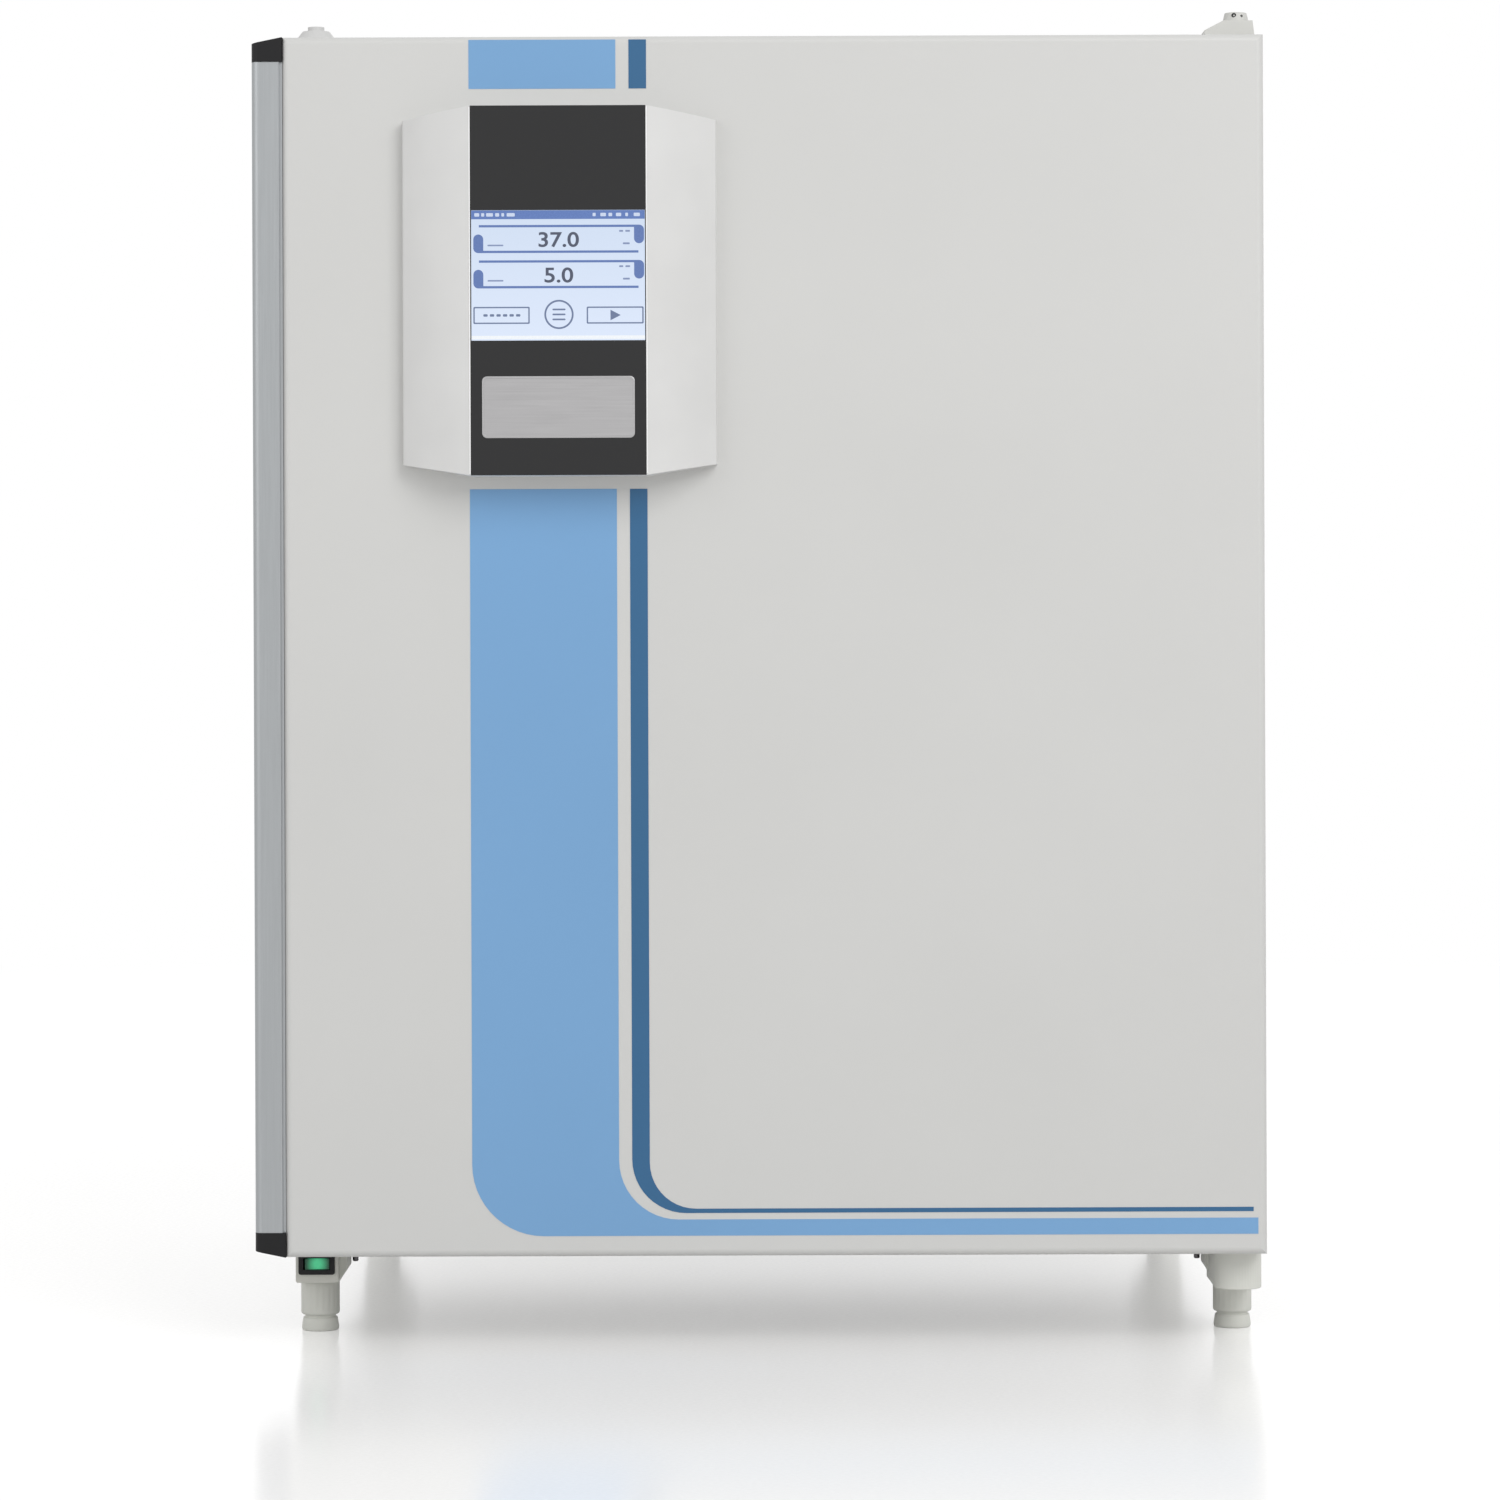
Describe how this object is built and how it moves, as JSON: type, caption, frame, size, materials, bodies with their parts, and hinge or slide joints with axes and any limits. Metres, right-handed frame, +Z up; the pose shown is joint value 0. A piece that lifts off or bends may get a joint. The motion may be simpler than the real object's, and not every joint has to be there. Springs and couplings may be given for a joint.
{
  "type": "carbon dioxide incubator",
  "caption": "Bench cabinet for cell culture with a hinged insulated door, touch-screen panel, glass inner door, slotted shelves in a stainless chamber, fan and levelling feet.",
  "frame": {"origin": "middle of the box's footprint, on the plane that the feet stand on", "axes": "+Z up, +X to the right seen from the front, +Y to the back; the door faces -Y"},
  "size_m": [0.657, 0.7814, 0.87],
  "materials": {
    "cabinet_paint": "satin",
    "door_paint": "satin",
    "cover_paint": "satin",
    "rear_steel": "satin",
    "frame_steel": "satin",
    "liner_steel": "satin",
    "foam": "matte",
    "chamber_steel": "satin",
    "shelf_steel": "satin",
    "sensor_steel": "satin",
    "motor_steel": "satin",
    "hinge_steel": "satin",
    "pin_steel": "polished",
    "screw_steel": "polished",
    "socket_metal": "satin",
    "silicone": "matte",
    "gasket_rubber": "matte",
    "glass": "gloss",
    "latch_plastic": "matte",
    "fan_plastic": "matte",
    "handle_aluminium": "satin",
    "cap_plastic": "matte",
    "light_foil": "satin",
    "dark_foil": "satin",
    "panel_plastic": "satin",
    "fascia_black": "satin",
    "screen": "gloss",
    "plate_metal": "satin",
    "bracket_plastic": "satin",
    "foot_plastic": "satin",
    "pad_plastic": "satin",
    "bush_plastic": "satin",
    "switch_grey": "satin",
    "rocker_green": "gloss",
    "nipple_brass": "satin",
    "sleeve_plastic": "satin"
  },
  "bodies": {
    "cabinet": {"outer_housing": "cabinet_paint", "base_plate": "cabinet_paint", "rear_panel": "rear_steel", "front_frame": "frame_steel", "chamber_insulation": "foam", "inner_chamber": "chamber_steel", "water_trough": "chamber_steel", "glass_door_seal": "silicone", "shelf_uprights": "shelf_steel", "sensor_head": "sensor_steel", "fan_motor": "motor_steel", "glass_hinge_brackets": "hinge_steel", "glass_hinge_pins": "pin_steel", "latch_keeper": "hinge_steel", "hinge_arm": "bracket_plastic", "hinge_block": "foot_plastic", "hinge_pins": "pin_steel", "foot_block_front_left": "foot_plastic", "foot_block_rear_left": "foot_plastic", "foot_block_rear_right": "foot_plastic", "stacking_pads": "pad_plastic", "switch_box": "switch_grey", "switch_body": "cap_plastic", "rear_cover": "cover_paint", "mains_inlet": "cap_plastic", "gas_inlets": "nipple_brass", "data_sockets": "socket_metal", "access_sleeve": "sleeve_plastic", "pressure_vent": "sleeve_plastic", "screws": "screw_steel", "shelf_rails_1": "shelf_steel", "shelf_rails_2": "shelf_steel", "shelf_rails_3": "shelf_steel"},
    "outer_door": {"door_shell": "door_paint", "door_insulation": "foam", "door_liner": "liner_steel", "door_gasket": "gasket_rubber", "handle_profile": "handle_aluminium", "handle_caps": "cap_plastic", "stripe_light": "light_foil", "stripe_dark": "dark_foil", "control_housing": "panel_plastic", "control_fascia": "fascia_black", "touch_screen": "screen", "name_plate": "plate_metal", "hinge_bushes": "bush_plastic"},
    "glass_door": {"glass_pane": "glass", "glass_hinge_leaves": "hinge_steel", "latch_stud": "pin_steel"},
    "glass_latch": {"latch_lever": "latch_plastic"},
    "fan": {"fan_wheel": "fan_plastic"},
    "power_rocker": {"switch_rocker": "rocker_green"},
    "leveller_front_left": {"foot_front_left": "foot_plastic"},
    "leveller_front_right": {"foot_front_right": "foot_plastic"},
    "leveller_rear_left": {"foot_rear_left": "foot_plastic"},
    "leveller_rear_right": {"foot_rear_right": "foot_plastic"},
    "port_plug": {"access_plug": "silicone"},
    "sliding_shelf_1": {"shelf_1": "shelf_steel"},
    "sliding_shelf_2": {"shelf_2": "shelf_steel"},
    "sliding_shelf_3": {"shelf_3": "shelf_steel"}
  },
  "joints": [
    {"name": "outer_door_hinge", "type": "hinge", "parent": "cabinet", "child": "outer_door", "pos_m": [0.3145, -0.31725, 0.4555], "axis": [0, 0, 1], "range_deg": [0, 120]},
    {"name": "glass_door_hinge", "type": "hinge", "parent": "cabinet", "child": "glass_door", "pos_m": [0.266, -0.28775, 0.4555], "axis": [0, 0, 1], "range_deg": [0, 102]},
    {"name": "glass_latch_turn", "type": "hinge", "parent": "glass_door", "child": "glass_latch", "pos_m": [-0.228, -0.28725, 0.4555], "axis": [0, 1, 0], "range_deg": [-90, 0]},
    {"name": "fan_spin", "type": "hinge", "parent": "cabinet", "child": "fan", "pos_m": [-0.06, 0.25675, 0.697], "axis": [0, 1, 0], "continuous": true},
    {"name": "power_switch_rock", "type": "hinge", "parent": "cabinet", "child": "power_rocker", "pos_m": [-0.29413, -0.29375, 0.0475], "axis": [0, 0, 1], "range_deg": [-16, 0]},
    {"name": "port_plug_pull", "type": "slide", "parent": "cabinet", "child": "port_plug", "axis": [0, 1, 0], "range_m": [0, 0.08]},
    {"name": "shelf_1_slide", "type": "slide", "parent": "cabinet", "child": "sliding_shelf_1", "axis": [0, -1, 0], "range_m": [0, 0.04]},
    {"name": "shelf_2_slide", "type": "slide", "parent": "cabinet", "child": "sliding_shelf_2", "axis": [0, -1, 0], "range_m": [0, 0.04]},
    {"name": "shelf_3_slide", "type": "slide", "parent": "cabinet", "child": "sliding_shelf_3", "axis": [0, -1, 0], "range_m": [0, 0.04]},
    {"name": "leveller_front_left_screw", "type": "slide", "parent": "cabinet", "child": "leveller_front_left", "axis": [0, 0, -1], "range_m": [0, 0.015]},
    {"name": "leveller_front_right_screw", "type": "slide", "parent": "cabinet", "child": "leveller_front_right", "axis": [0, 0, -1], "range_m": [0, 0.015]},
    {"name": "leveller_rear_left_screw", "type": "slide", "parent": "cabinet", "child": "leveller_rear_left", "axis": [0, 0, -1], "range_m": [0, 0.015]},
    {"name": "leveller_rear_right_screw", "type": "slide", "parent": "cabinet", "child": "leveller_rear_right", "axis": [0, 0, -1], "range_m": [0, 0.015]}
  ],
  "couplings": [
    {"joint": "glass_door_hinge", "follows": "outer_door_hinge", "ratio": 0.85}
  ]
}
